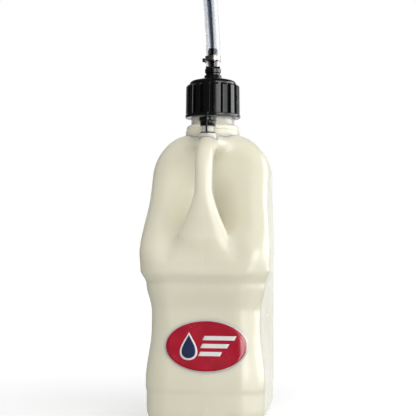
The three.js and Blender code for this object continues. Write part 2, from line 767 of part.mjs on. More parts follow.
piece('jug_body', jugBody(), ivory);
piece('label', label(), paper);
piece('main_cap', mainCap(), black);
piece('cap_gasket', ring(NECK_RADIUS - 9, NECK_RADIUS - 0.4, rimHeight + FIT, rimHeight + FIT + CAP_SEAL, 40), seal);
piece('hose_barb', hoseBarb(), black);
piece('barb_lock_nut', barbNut(), black);
piece('filler_hose', fillerHose(), clear);
piece('clamp_band', clampBand(), steel);
piece('clamp_housing', clampHousing(), steel);
piece('clamp_screw', clampScrew(), steel);
piece('vent_cap', ventCap(), black);
piece('vent_gasket', ring(VENT_BORE, VENT_RADIUS, ventRim + FIT, ventRim + FIT + VENT_SEAL, 32)
  .translate(0, -VENT_OFFSET, 0), seal);
piece('vent_tether', ventTether(), black);

export default group;
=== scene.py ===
"""Looks of the racing fuel jug: moulded translucent body, ribbed caps, clear hose and printed oval."""

import math

import bmesh
import bpy
import numpy as np
from mathutils import Matrix, Vector


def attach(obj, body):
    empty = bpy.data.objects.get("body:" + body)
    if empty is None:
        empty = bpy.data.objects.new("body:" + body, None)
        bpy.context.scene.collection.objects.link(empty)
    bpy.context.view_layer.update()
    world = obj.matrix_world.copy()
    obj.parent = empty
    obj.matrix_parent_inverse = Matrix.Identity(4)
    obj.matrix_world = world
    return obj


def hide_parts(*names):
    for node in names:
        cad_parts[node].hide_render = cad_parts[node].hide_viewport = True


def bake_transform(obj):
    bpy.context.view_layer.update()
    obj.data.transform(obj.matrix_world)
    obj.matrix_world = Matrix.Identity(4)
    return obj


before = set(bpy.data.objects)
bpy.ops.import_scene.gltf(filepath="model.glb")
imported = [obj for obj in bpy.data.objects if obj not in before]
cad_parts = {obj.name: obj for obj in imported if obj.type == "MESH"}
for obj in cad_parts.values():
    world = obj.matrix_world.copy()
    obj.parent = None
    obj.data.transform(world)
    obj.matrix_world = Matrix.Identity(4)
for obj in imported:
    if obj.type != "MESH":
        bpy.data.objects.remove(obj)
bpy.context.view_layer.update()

MM = 0.001

# Sizes, in millimetres

BODY_WIDTH = 192
BODY_DEPTH = 238
CORNER_RADIUS = 45
FRONT_CORNER = 28
BACK_CORNER = 60
BASE_RADIUS = 32
FRONT_TOP = 278
FRONT_LEAN_END = 415
LEAN_ROUNDING = 12
RECESS_FRONT = 40
RECESS_ROUNDING = 5
VALLEY_START = 280
VALLEY_END = 340
VALLEY_HALF_WIDTH = 74
VALLEY_FLAT = 8
BACK_LEAN = 26
SHOULDER_START = 405
SHOULDER_TOP = 467
SHOULDER_POWER = 1.7
GRIP_DEPTH = 10.2
BULGE_DEPTH = 10
BULGE_START = 246
WAIST_TOP = 226
BULGE_FADE = 90
WAIST_HEIGHT = 169
WAIST_FLAT = 14
SWELL_FRONT = 71
SWELL_BACK = 48
BAND_HEIGHT = 61
BAND_STEP = 1.5
COLLAR_RADIUS = 44.8
COLLAR_TOP = 485
COLLAR_TIER = 1.2
NECK_RADIUS = 36
NECK_BORE = 33
NECK_BOTTOM = 452
NECK_RIM = 552
THREAD_DEPTH = 1.4
THREAD_PITCH = 8
GRIP_FRONT = 124
GRIP_HALF_WIDTH = 13.8
GRIP_HALF_THICKNESS = 15
GRIP_POWER = 0.86
FOOT_HALF_WIDTH = 50
FOOT_BOTTOM = 282
FOOT_FLARE = 92
FOOT_POWER = 1.4
FOOT_THICKENING = 6
MOAT_OFFSET = 1
MOAT_HALF_WIDTH = 7
MOAT_DEPTH = 8
MOAT_START = 258
MOAT_END = 350
MOAT_FADE = 30
BRIDGE_HALF_WIDTH = 34
BRIDGE_TOP = 464
BRIDGE_THINNING = 0.75
CAP_BASE = 497
CAP_INSIDE = 555.6
CAP_TOP = 561
CAP_SKIRT_RADIUS = 38.8
CAP_DOME = 8
CAP_RIB_HEIGHT = 5.4
CAP_RIB_FLARE = 0.6
CAP_RIB_TURN = 0.2  # of a rib's pitch
CAP_RIBS = 18
CAP_FLANGE_RADIUS = 45.8
CAP_FLANGE_TOP = 502.5
CAP_BORE = 36.5
CAP_ROUNDING = 6
BOSS_RADIUS = 14.5
BOSS_BORE = 10.3
BOSS_TOP = 568.5
HOSE_START = 580.4
HOSE_RADIUS = 12
HOSE_BORE = 9.3
CLAMP_BOTTOM = 592.4
CLAMP_WIDTH = 8
VENT_OFFSET = 60.5
VENT_PAD = 465.2
VENT_PAD_RADIUS = 13.8
VENT_RIM = 485.2
VENT_RADIUS = 9.5
VENT_BORE = 6.5
VENT_TOP = 491.8
VENT_CAP_RADIUS = 12.4
VENT_FLANGE_RADIUS = 14.2
VENT_FLANGE_HEIGHT = 6.3
VENT_LOBES = 12
VENT_LOBE_HEIGHT = 0.9
STRAP_HALF_WIDTH = 1.5
STRAP_HALF_THICKNESS = 0.8
STRAP_POWER = 0.6
LABEL_WIDTH = 130
LABEL_HEIGHT = 81
LABEL_EDGE = 4.4
LABEL_CENTRE = 131
LABEL_SHIFT = 5
BODY_VOXEL = 2.5
FLOOR_HALF = 60  # in metres
GLOW_REACH = 3.0  # in metres
AMBIENT = 0.36  # light of the room, as a share of white
AMBIENT_GLOSS = 0.07  # the same in reflections


# Camera

LENS = 92.2
CAMERA_AZIMUTH = 7.5  # angles in degrees, lengths in metres
CAMERA_DISTANCE = 1.76
CAMERA_HEIGHT = 0.279
CAMERA_PITCH = 2.26
CAMERA_TURN = 0.247
CAMERA_ROLL = 0.15


def make_camera():
    """The photograph's view: a long lens at half the jug's height, a little to its right."""
    data = bpy.data.cameras.new("camera")
    data.sensor_width = 36
    data.lens = LENS
    camera = bpy.data.objects.new("camera", data)
    bpy.context.scene.collection.objects.link(camera)
    azimuth = math.radians(CAMERA_AZIMUTH)
    distance = CAMERA_DISTANCE
    camera.location = (distance * math.sin(azimuth), -distance * math.cos(azimuth), CAMERA_HEIGHT)
    pitch = math.radians(CAMERA_PITCH)
    turn = azimuth + math.radians(CAMERA_TURN)
    roll = math.radians(CAMERA_ROLL)
    look = Matrix.Rotation(turn, 4, "Z") @ Matrix.Rotation(math.pi / 2 + pitch, 4, "X")
    camera.matrix_world = Matrix.Translation(camera.location) @ look @ Matrix.Rotation(roll, 4, "Z")
    bpy.context.scene.camera = camera


# Mesh helpers

def mesh_object(name, points, faces, materials):
    """Links a new, smoothly shaded mesh object; points are in millimetres."""
    mesh = bpy.data.meshes.new(name)
    mesh.from_pydata([tuple(float(v) * MM for v in p) for p in points], [], faces)
    mesh.update()
    mesh.shade_smooth()
    for material in materials:
        mesh.materials.append(material)
    obj = bpy.data.objects.new(name, mesh)
    bpy.context.scene.collection.objects.link(obj)
    return obj


def ring_faces(levels, count, closed=False):
    """Quads between rings of equal length; closed joins the last ring to the first."""
    faces = []
    for level in range(levels if closed else levels - 1):
        low = level * count
        high = ((level + 1) % levels) * count
        for side in range(count):
            after = (side + 1) % count
            faces.append((low + side, low + after, high + after, high + side))
    return faces


def loft(name, rings, materials, closed=False):
    """Skin over a stack of rings, closed by a flat face at each end or joined round on itself."""
    count = len(rings[0])
    points = [p for ring in rings for p in ring]
    faces = ring_faces(len(rings), count, closed)
    if not closed:
        faces.append(tuple(reversed(range(count))))
        faces.append(tuple(range((len(rings) - 1) * count, len(rings) * count)))
    return mesh_object(name, points, faces, materials)


def rounded(profile, radius, steps=4):
    """A closed profile with its corners rounded by up to the given radius."""
    out = []
    count = len(profile)
    for i in range(count):
        before, here, after = (np.array(profile[(i + k) % count], float) for k in (-1, 0, 1))
        arms = [before - here, after - here]
        lengths = [np.linalg.norm(arm) for arm in arms]
        reach = min(radius, 0.45 * lengths[0], 0.45 * lengths[1])
        start = here + arms[0] / lengths[0] * reach
        end = here + arms[1] / lengths[1] * reach
        for k in range(steps + 1):
            t = k / steps
            out.append((1 - t) ** 2 * start + 2 * t * (1 - t) * here + t * t * end)
    return out


def turned(name, profile, materials, segments=96, edge=0.5, centre=(0, 0)):
    """Solid of revolution of a closed [radius, height] profile that stays off the axis."""
    profile = rounded(profile, edge)
    rings = []
    for radius, height in profile:
        ring = []
        for k in range(segments):
            angle = 2 * math.pi * k / segments
            x = centre[0] + radius * math.cos(angle)
            y = centre[1] + radius * math.sin(angle)
            ring.append((x, y, height))
        rings.append(ring)
    obj = loft(name, rings, materials, closed=True)
    face_outwards(obj)
    return obj


def face_outwards(obj):
    work = bmesh.new()
    work.from_mesh(obj.data)
    bmesh.ops.recalc_face_normals(work, faces=work.faces)
    work.to_mesh(obj.data)
    work.free()


def join(objects, name):
    """Joins mesh objects into the first one."""
    first = objects[0]
    with bpy.context.temp_override(
        active_object=first,
        object=first,
        selected_objects=objects,
        selected_editable_objects=objects,
    ):
        bpy.ops.object.join()
    first.name = name
    return first


def apply_modifiers(obj):
    evaluated = obj.evaluated_get(bpy.context.evaluated_depsgraph_get())
    mesh = bpy.data.meshes.new_from_object(evaluated)
    obj.modifiers.clear()
    obj.data = mesh


def catmull_rom(points, samples):
    """Points at equal steps along a smooth curve through the given points."""
    points = np.array(points, float)
    padded = np.vstack([2 * points[0] - points[1], points, 2 * points[-1] - points[-2]])
    dense = []
    for i in range(1, len(padded) - 2):
        a, b, c, d = padded[i - 1 : i + 3]
        for t in np.linspace(0, 1, 40, endpoint=False):
            square = (2 * a - 5 * b + 4 * c - d) * t**2
            cube = (3 * b - a - 3 * c + d) * t**3
            dense.append(0.5 * (2 * b + (c - a) * t + square + cube))
    dense.append(padded[-2])
    dense = np.array(dense)
    along = np.concatenate([[0], np.cumsum(np.linalg.norm(np.diff(dense, axis=0), axis=1))])
    at = np.linspace(0, along[-1], samples)
    return np.stack([np.interp(at, along, dense[:, k]) for k in range(3)], axis=1), along[-1]


# Material helpers

def new_material(name):
    """An empty node material and its Principled shader."""
    material = bpy.data.materials.new(name)
    material.use_nodes = True
    nodes = material.node_tree.nodes
    return material, nodes, material.node_tree.links, nodes["Principled BSDF"]


def object_coordinates(nodes, links, scale):
    where = nodes.new("ShaderNodeTexCoord")
    mapping = nodes.new("ShaderNodeMapping")
    mapping.inputs["Scale"].default_value = scale
    links.new(where.outputs["Object"], mapping.inputs["Vector"])
    return mapping.outputs["Vector"]


def noise(nodes, links, scale, detail=4, stretch=(1, 1, 1), roughness=0.5):
    texture = nodes.new("ShaderNodeTexNoise")
    texture.inputs["Scale"].default_value = scale
    texture.inputs["Detail"].default_value = detail
    texture.inputs["Roughness"].default_value = roughness
    links.new(object_coordinates(nodes, links, stretch), texture.inputs["Vector"])
    return texture.outputs["Fac"]


def ramp(nodes, links, value, stops):
    """Colour ramp from (position, grey or colour) stops."""
    node = nodes.new("ShaderNodeValToRGB")
    elements = node.color_ramp.elements
    while len(elements) < len(stops):
        elements.new(0.5)
    for element, (position, colour) in zip(elements, stops):
        element.position = position
        red, green, blue = colour if isinstance(colour, tuple) else (colour, colour, colour)
        element.color = (red, green, blue, 1)
    links.new(value, node.inputs["Fac"])
    return node.outputs["Color"]


def bump(nodes, links, height, strength, distance, normal=None):
    node = nodes.new("ShaderNodeBump")
    node.inputs["Strength"].default_value = strength
    node.inputs["Distance"].default_value = distance
    links.new(height, node.inputs["Height"])
    if normal is not None:
        links.new(normal, node.inputs["Normal"])
    return node.outputs["Normal"]


def calculate(nodes, links, operation, *values):
    node = nodes.new("ShaderNodeMath")
    node.operation = operation
    for socket, value in zip(node.inputs, values):
        if isinstance(value, (int, float)):
            socket.default_value = value
        else:
            links.new(value, socket)
    return node.outputs["Value"]


# Materials

NECK_GLOW_FADE = (0.468, 0.492)  # heights between which the jug's base colour turns paler, a painted glow of light through the neck, in metres


def hdpe_material():
    """Blow-moulded polyethylene: warm ivory, light passing through the wall, satin skin."""
    material, nodes, links, shader = new_material("hdpe_ivory")
    cloud = noise(nodes, links, 9, detail=3)
    colour = ramp(nodes, links, cloud, [(0.3, (0.80, 0.765, 0.61)), (0.7, (0.84, 0.81, 0.665))])
    # The neck stands open above the tank, so more light comes through it; that light is painted here as a
    # paler base colour.
    where = nodes.new("ShaderNodeTexCoord")
    split = nodes.new("ShaderNodeSeparateXYZ")
    links.new(where.outputs["Object"], split.inputs["Vector"])
    painted_glow = nodes.new("ShaderNodeMix")
    painted_glow.data_type = "RGBA"
    share = ramp(nodes, links, split.outputs["Z"], [(NECK_GLOW_FADE[0], 0.0), (NECK_GLOW_FADE[1], 1.0)])
    links.new(share, painted_glow.inputs["Factor"])
    links.new(colour, painted_glow.inputs["A"])
    painted_glow.inputs["B"].default_value = (0.92, 0.87, 0.68, 1)
    links.new(painted_glow.outputs["Result"], shader.inputs["Base Color"])
    shader.inputs["Subsurface Weight"].default_value = 0.75
    shader.inputs["Subsurface Radius"].default_value = (1.0, 1.0, 0.95)
    shader.inputs["Subsurface Scale"].default_value = 0.014
    shader.inputs["IOR"].default_value = 1.5
    smudge = noise(nodes, links, 26, detail=6, stretch=(1, 1, 0.6))
    links.new(ramp(nodes, links, smudge, [(0.3, 0.17), (0.75, 0.29)]), shader.inputs["Roughness"])
    # A blow mould leaves a fine parting line in the jug's plane of symmetry.
    off = calculate(nodes, links, "ABSOLUTE", split.outputs["X"])
    off_mm = calculate(nodes, links, "MULTIPLY", off, 1 / MM)
    line = ramp(nodes, links, off_mm, [(0.25, 1.0), (0.7, 0.0)])
    grain = bump(nodes, links, noise(nodes, links, 900, detail=2), 0.12, 0.0002)
    waves = bump(nodes, links, noise(nodes, links, 22, detail=2), 0.25, 0.0012, grain)
    links.new(bump(nodes, links, line, 0.5, 0.0003, waves), shader.inputs["Normal"])
    return material


def black_plastic(name, roughness=(0.15, 0.27)):
    """Injection-moulded polypropylene: fine grain, slight scuffs and paler flecks of dust."""
    material, nodes, links, shader = new_material(name)
    dust = noise(nodes, links, 60, detail=8, roughness=0.65)
    tint = (0.003, 0.0032, 0.0036)
    pale = tuple(v * 2 for v in tint)
    links.new(ramp(nodes, links, dust, [(0.45, tint), (0.85, pale)]), shader.inputs["Base Color"])
    shader.inputs["IOR"].default_value = 1.47
    scuff = noise(nodes, links, 240, detail=5, stretch=(1, 1, 0.35))
    gloss = ramp(nodes, links, scuff, [(0.3, roughness[0]), (0.75, roughness[1])])
    links.new(gloss, shader.inputs["Roughness"])
    fine = bump(nodes, links, noise(nodes, links, 1800, detail=2), 0.16, 0.00012)
    waves = bump(nodes, links, noise(nodes, links, 130, detail=3), 0.1, 0.0004, fine)
    links.new(waves, shader.inputs["Normal"])
    return material


def clear_pvc():
    """Clear extruded hose with very fine draw lines; a dark streak down its front and a darker left side
    are painted shade, for the dark room seen through it.
    """
    material, nodes, links, shader = new_material("clear_pvc")
    # Painted shade: the attribute darkens the tint in a streak down the front and on the left side.
    painted_streak = nodes.new("ShaderNodeAttribute")
    painted_streak.attribute_name = "painted_streak"
    mottle = noise(nodes, links, 30, detail=3)
    cloud = calculate(nodes, links, "MULTIPLY_ADD", mottle, 0.1, painted_streak.outputs["Fac"])
    tint = ramp(nodes, links, cloud, [(0.08, (0.84, 0.86, 0.885)), (0.9, (0.045, 0.055, 0.08))])
    links.new(tint, shader.inputs["Base Color"])
    shader.inputs["Transmission Weight"].default_value = 1.0
    shader.inputs["IOR"].default_value = 1.33
    smear = noise(nodes, links, 60, detail=4, stretch=(1, 1, 0.2))
    links.new(ramp(nodes, links, smear, [(0.3, 0.02), (0.8, 0.06)]), shader.inputs["Roughness"])
    links.new(bump(nodes, links, smear, 0.03, 0.0003), shader.inputs["Normal"])
    return material


def steel_material():
    """Bright rolled stainless strip with fine lines round the band."""
    material, nodes, links, shader = new_material("steel_strip")
    lines = noise(nodes, links, 500, detail=4, stretch=(0.05, 0.05, 6))
    tint = ramp(nodes, links, lines, [(0.3, (0.36, 0.32, 0.27)), (0.75, (0.54, 0.50, 0.44))])
    links.new(tint, shader.inputs["Base Color"])
    shader.inputs["Metallic"].default_value = 1.0
    links.new(ramp(nodes, links, lines, [(0.3, 0.16), (0.8, 0.34)]), shader.inputs["Roughness"])
    links.new(bump(nodes, links, lines, 0.15, 0.0001), shader.inputs["Normal"])
    return material


def print_ink(name, light, dark):
    """Ink on glossy film: slight mottling and a soft, uneven gloss."""
    material, nodes, links, shader = new_material(name)
    mottle = noise(nodes, links, 45, detail=5)
    links.new(ramp(nodes, links, mottle, [(0.3, dark), (0.75, light)]), shader.inputs["Base Color"])
    gloss = noise(nodes, links, 30, detail=3)
    links.new(ramp(nodes, links, gloss, [(0.3, 0.2), (0.8, 0.32)]), shader.inputs["Roughness"])
    shader.inputs["Coat Weight"].default_value = 0.5
    shader.inputs["Coat Roughness"].default_value = 0.12
    film_waves = noise(nodes, links, 120, detail=3)
    links.new(bump(nodes, links, film_waves, 0.08, 0.0003), shader.inputs["Normal"])
    return material


def rubber_material():
    material, nodes, links, shader = new_material("seal_rubber")
    speck = noise(nodes, links, 400, detail=4)
    links.new(ramp(nodes, links, speck, [(0.3, 0.012), (0.8, 0.03)]), shader.inputs["Base Color"])
    links.new(ramp(nodes, links, speck, [(0.3, 0.65), (0.8, 0.85)]), shader.inputs["Roughness"])
    links.new(bump(nodes, links, speck, 0.2, 0.0002), shader.inputs["Normal"])
    return material


# Hose

HOSE_SIDES = 48
HOSE_SAMPLES = 90
# The hose's dark streak and darker left side are painted shade, for the dark room seen through the clear
# wall.
PAINTED_STREAK_LOW = 272  # direction in plan of the painted dark streak at the barb, in degrees
PAINTED_STREAK_HIGH = 262  # and at the far end
PAINTED_STREAK_WIDTH = 18  # its width at the barb, in degrees
PAINTED_STREAK_SPREAD = 32  # and what it gains on the way
PAINTED_WALL_SHADE = 0.3  # share of the painted streak's darkness laid on the left side as painted shade
PAINTED_WALL_POWER = 4

HOSE_ROUTE = [
    (0, 0, HOSE_START),
    (0, 0, HOSE_START + 18),
    (0, 0, HOSE_START + 36),
    (-1.6, 0, HOSE_START + 66),
    (-5, 1, HOSE_START + 112),
    (-11, 3, HOSE_START + 166),
    (-20, 6, HOSE_START + 226),
    (-33, 10, HOSE_START + 290),
    (-49, 15, HOSE_START + 350),
]


def tube_rings(path, radius, sides):
    """Rings square to a path in space, with no twist between them."""
    rings = []
    side = np.array([1.0, 0, 0])
    for i, point in enumerate(path):
        along = path[min(i + 1, len(path) - 1)] - path[max(i - 1, 0)]
        along /= np.linalg.norm(along)
        side = side - along * side.dot(along)
        side /= np.linalg.norm(side)
        other = np.cross(along, side)
        angles = np.linspace(0, 2 * math.pi, sides, endpoint=False)
        rings.append(point + radius * (np.outer(np.cos(angles), side) + np.outer(np.sin(angles), other)))
    return rings


def make_hose(material):
    """Tube with open ends; an attribute holds its painted shade at each point, the dark streak and the
    darker left side.
    """
    path, length = catmull_rom(HOSE_ROUTE, HOSE_SAMPLES)
    outside = tube_rings(path, HOSE_RADIUS, HOSE_SIDES)
    inside = tube_rings(path, HOSE_BORE, HOSE_SIDES)
    hose = loft("hose", outside + inside[::-1], [material], closed=True)
    angles = np.linspace(0, 2 * math.pi, HOSE_SIDES, endpoint=False)
    rise = np.linspace(0, 1, len(outside))[:, None]
    centre = np.radians(PAINTED_STREAK_LOW + (PAINTED_STREAK_HIGH - PAINTED_STREAK_LOW) * rise)
    off = (angles - centre) / np.radians(PAINTED_STREAK_WIDTH + PAINTED_STREAK_SPREAD * rise)
    painted_wall_shade = PAINTED_WALL_SHADE * np.maximum(-np.cos(angles), 0) ** PAINTED_WALL_POWER
    painted_streak = np.exp(-(off**2)) + painted_wall_shade
    painted_streak = np.concatenate([painted_streak, painted_streak[::-1]]).ravel()
    hose.data.attributes.new("painted_streak", "FLOAT", "POINT").data.foreach_set("value", painted_streak)
    face_outwards(hose)
    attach(hose, "cap")
    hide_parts("filler_hose")
    return hose, [tuple(p * MM) for p in path], length * MM


# Body surface

def smoothstep(low, high, value):
    t = np.clip((value - low) / (high - low), 0, 1)
    return t * t * (3 - 2 * t)


def curve_through(pairs, position):
    """Smooth curve through (position, value) pairs."""
    result = np.full_like(position, pairs[0][1])
    for (left, start), (right, end) in zip(pairs, pairs[1:]):
        inside = position > left
        result = np.where(inside, start + (end - start) * smoothstep(left, right, position), result)
    return result


def rounded_box(angle, half_width, front, back, radius):
    """Distance from the axis to a box with rounded corners, along a direction in plan."""
    middle = (back - front) / 2
    half_depth = (back + front) / 2
    dx, dy = np.cos(angle), np.sin(angle)
    near = np.zeros_like(angle)
    far = half_width + front + back + np.zeros_like(angle)
    for _ in range(30):
        half = (near + far) / 2
        qx = np.abs(dx * half) - half_width + radius
        qy = np.abs(dy * half - middle) - half_depth + radius
        gap = np.hypot(np.maximum(qx, 0), np.maximum(qy, 0)) + np.minimum(np.maximum(qx, qy), 0) - radius
        far = np.where(gap > 0, half, far)
        near = np.where(gap > 0, near, half)
    return near


def front_depth(height):
    """Distance from the axis to the front's corners: full depth up to the bulge, then leaning back."""
    full = BODY_DEPTH / 2
    slope = (full - RECESS_FRONT) / (FRONT_LEAN_END - FRONT_TOP)
    above = height - FRONT_TOP
    lean = slope * (np.hypot(above, LEAN_ROUNDING) + above) / 2
    left = full - RECESS_FRONT - lean
    return RECESS_FRONT + (np.hypot(left, RECESS_ROUNDING) + left) / 2


def front_swell(height):
    """How far the front stands out of the plain box: the bulge, and the waist below it."""
    return curve_through(
        [
            (BAND_HEIGHT + WAIST_FLAT, 0.0),
            (WAIST_HEIGHT - WAIST_FLAT, -GRIP_DEPTH),
            (WAIST_HEIGHT + WAIST_FLAT, -GRIP_DEPTH),
            (WAIST_TOP, 0.0),
            (BULGE_START, BULGE_DEPTH),
        ],
        height,
    )


def foot_width(height):
    """Half width of the handle, which flares out downwards into its foot."""
    rise = np.clip((height - FOOT_BOTTOM) / FOOT_FLARE, 0, 1)
    return GRIP_HALF_WIDTH + (FOOT_HALF_WIDTH - GRIP_HALF_WIDTH) * (1 - rise) ** FOOT_POWER


def body_radius(angle, height):
    """Distance from the axis to the jug's outer surface, by direction and height."""
    front = front_depth(height)
    low = np.clip(height, 0, BASE_RADIUS)
    inset = BASE_RADIUS - np.sqrt(BASE_RADIUS**2 - (BASE_RADIUS - low) ** 2)
    band = BAND_STEP * (1 - smoothstep(BAND_HEIGHT - 3, BAND_HEIGHT + 3, height))
    shrink = inset + band
    upper = smoothstep(FRONT_TOP, SHOULDER_START, height)
    back = BODY_DEPTH / 2 - BACK_LEAN * upper
    sharper = smoothstep(WAIST_TOP, FRONT_TOP, height)
    front_corner = CORNER_RADIUS + (FRONT_CORNER - CORNER_RADIUS) * sharper
    back_corner = CORNER_RADIUS + (BACK_CORNER - CORNER_RADIUS) * upper
    corner = np.where(np.sin(angle) < 0, front_corner, back_corner)
    radius = rounded_box(
        angle, BODY_WIDTH / 2 - shrink, front - shrink, back - shrink, corner - np.minimum(shrink, 20)
    )
    x, y = radius * np.cos(angle), radius * np.sin(angle)
    valley = smoothstep(VALLEY_START, VALLEY_END, height)
    valley = valley * (1 - smoothstep(VALLEY_FLAT, VALLEY_HALF_WIDTH, np.abs(x)))
    valley = valley * (1 - smoothstep(-RECESS_FRONT, 0, y))
    radius = radius * (1 - (1 - RECESS_FRONT / front) * valley)
    forward = 1 - smoothstep(-SWELL_FRONT, SWELL_BACK, y)
    fade = 1 - smoothstep(FRONT_TOP, FRONT_TOP + BULGE_FADE, height)
    radius = radius + front_swell(height) * forward * fade
    # A shallow hollow runs down along each edge of the handle's foot.
    beside = np.exp(-(((np.abs(x) - foot_width(height) - MOAT_OFFSET) / MOAT_HALF_WIDTH) ** 2))
    moat = smoothstep(MOAT_START, FRONT_TOP, height)
    moat = moat * (1 - smoothstep(MOAT_END - MOAT_FADE, MOAT_END, height))
    radius = radius - MOAT_DEPTH * moat * beside * forward
    t = np.clip((height - SHOULDER_START) / (SHOULDER_TOP - SHOULDER_START), 0, 1)
    inward = 1 - (1 - t**SHOULDER_POWER) ** (1 / SHOULDER_POWER)
    return radius + (COLLAR_RADIUS - 1 - radius) * inward


def front_at(x, height):
    """Y of the front face at a place on it."""
    y = np.full_like(x, -BODY_DEPTH / 2)
    for _ in range(12):
        radius = body_radius(np.arctan2(y, x), height)
        y = -np.sqrt(np.maximum(radius**2 - x**2, 1))
    return y


# Handle surface

def squarer(value, power):
    """Turns a sine or cosine into one of a rounded square."""
    return np.sign(value) * np.abs(value) ** power


def handle_stations(count=160):
    """Centre line of the handle in the YZ plane, with its half width and half thickness."""
    grip = GRIP_FRONT - GRIP_HALF_THICKNESS
    bridge = BRIDGE_TOP - GRIP_HALF_THICKNESS
    route = [
        (0, -18, bridge - 2),
        (0, -40, bridge),
        (0, -66, bridge - 2),
        (0, -grip + 12, bridge - 24),
        (0, -grip + 1, bridge - 62),
        (0, -grip, FRONT_TOP + 70),
        (0, -grip, FRONT_TOP + 40),
        (0, -grip + 1, FRONT_TOP + 10),
        (0, -grip + 8, FRONT_TOP - 16),
    ]
    path, _ = catmull_rom(route, count)
    along = np.gradient(path, axis=0)
    along /= np.linalg.norm(along, axis=1)[:, None]
    across = np.stack([np.zeros(count), along[:, 2], -along[:, 1]], axis=1)
    on_bridge = curve_through(
        [
            (34, BRIDGE_HALF_WIDTH),
            (VENT_OFFSET + 4, GRIP_HALF_WIDTH + 1.5),
            (grip - 6, GRIP_HALF_WIDTH),
        ],
        -path[:, 1],
    )
    width = np.where(path[:, 2] > bridge - 40, on_bridge, foot_width(path[:, 2]))
    foot = 1 - smoothstep(FRONT_TOP, FRONT_TOP + FOOT_FLARE / 2, path[:, 2])
    thickness = GRIP_HALF_THICKNESS + FOOT_THICKENING * foot
    return path, across, width, thickness


def handle_loft(material):
    """The handle's skin; where it widens into the bridge, its underside thins towards the edges."""
    path, across, width, thickness = handle_stations()
    angles = np.linspace(0, 2 * math.pi, 72, endpoint=False)
    rings = []
    for centre, out, half_width, half_thickness in zip(path, across, width, thickness):
        web = smoothstep(GRIP_HALF_WIDTH + 2, BRIDGE_HALF_WIDTH, half_width)
        web = web * (centre[2] > BRIDGE_TOP - 60)
        thin = 1 - BRIDGE_THINNING * web * np.abs(np.cos(angles)) * (np.sin(angles) < 0)
        lift = squarer(np.sin(angles), GRIP_POWER) * thin * half_thickness
        ring = centre + np.outer(lift, out)
        ring[:, 0] += squarer(np.cos(angles), GRIP_POWER) * half_width
        rings.append(ring)
    return loft("handle", rings, [material])


def level_ring(radius, angles, height, shift=0):
    """A level ring with its own radius in each direction, moved along Y by the shift."""
    x = radius * np.cos(angles)
    y = radius * np.sin(angles) + shift
    return np.stack([x, y, np.full_like(angles, height)], 1)


def body_loft(material):
    """The jug's skin without its handle, with closer rings where it curves more."""
    heights = np.unique(
        np.concatenate(
            [
                BASE_RADIUS * (1 - np.cos(np.linspace(0, math.pi / 2, 16))),
                np.arange(BASE_RADIUS + 2, WAIST_TOP - 6, 2.5),
                np.arange(WAIST_TOP - 6, BULGE_START + 4, 1.2),
                np.arange(BULGE_START + 4, SHOULDER_START, 2.5),
                SHOULDER_START
                + (SHOULDER_TOP - SHOULDER_START) * np.sin(np.linspace(0, math.pi / 2, 50)),
            ]
        )
    )
    angles = np.linspace(0, 2 * math.pi, 288, endpoint=False)
    rings = []
    for height in heights:
        rings.append(level_ring(body_radius(angles, np.full_like(angles, height)), angles, height))
    return loft("shell", rings, [material])


SEAM_REACH = 14
SKIN_SHARE = 0.12  # smoothing of the plain skin, as a share of that at the seam
SEAM_LEAST = 0.2
SEAM_STEPS = 60
SKIN_STEPS = 6
STEP_SHARE = 0.6


def smooth_near_handle(obj):
    """Rounds the hollow where the handle runs into the jug, as a blow mould does, and evens the skin."""
    mesh = obj.data
    count = len(mesh.vertices)
    co = np.empty(count * 3)
    mesh.vertices.foreach_get("co", co)
    co = co.reshape(-1, 3) / MM
    edges = np.empty(len(mesh.edges) * 2, dtype=np.int64)
    mesh.edges.foreach_get("vertices", edges)
    edges = edges.reshape(-1, 2)
    degree = np.bincount(edges.ravel(), minlength=count).astype(float)
    gap = np.abs(np.hypot(co[:, 0], co[:, 1]) - body_radius(np.arctan2(co[:, 1], co[:, 0]), co[:, 2]))
    path, _, width, thickness = handle_stations(80)
    nearest = np.full(count, 1e9)
    for centre, half_width, half_thickness in zip(path, width, thickness):
        across = np.hypot(co[:, 1] - centre[1], co[:, 2] - centre[2]) / half_thickness
        side = np.abs(co[:, 0]) / half_width
        nearest = np.minimum(nearest, np.abs(np.hypot(across, side) - 1) * half_thickness)
    front = (co[:, 1] < -RECESS_FRONT + 12) & (co[:, 2] > FRONT_TOP - 12)
    seam = front * np.exp(-((gap / SEAM_REACH) ** 2)) * np.exp(-((nearest / SEAM_REACH) ** 2))
    weight = SKIN_SHARE + (1 - SKIN_SHARE) * seam
    for step in range(SEAM_STEPS):
        total = np.zeros_like(co)
        for axis in range(3):
            total[:, axis] += np.bincount(edges[:, 0], co[edges[:, 1], axis], count)
            total[:, axis] += np.bincount(edges[:, 1], co[edges[:, 0], axis], count)
        target = total / degree[:, None]
        share = weight if step < SKIN_STEPS else weight * (weight > SEAM_LEAST)
        co += (STEP_SHARE * share)[:, None] * (target - co)
    mesh.vertices.foreach_set("co", (co * MM).ravel())
    mesh.update()


def make_body(material):
    """The shell and handle fused into one skin, with the collar, neck and vent spout turned crisp."""
    shell = body_loft(material)
    handle = handle_loft(material)
    skin = join([shell, handle], "body")
    remesh = skin.modifiers.new("fuse", "REMESH")
    remesh.mode = "VOXEL"
    remesh.voxel_size = BODY_VOXEL * MM
    remesh.use_smooth_shade = True
    apply_modifiers(skin)
    smooth_near_handle(skin)
    skin.data.materials.clear()
    skin.data.materials.append(material)
    neck = turned("neck", neck_profile(), [material], segments=160, edge=1.2)
    spout = turned("spout", spout_profile(), [material], segments=72, edge=0.6, centre=(0, -VENT_OFFSET))
    body = join([skin, neck, spout], "body")
    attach(body, "jug")
    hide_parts("jug_body")


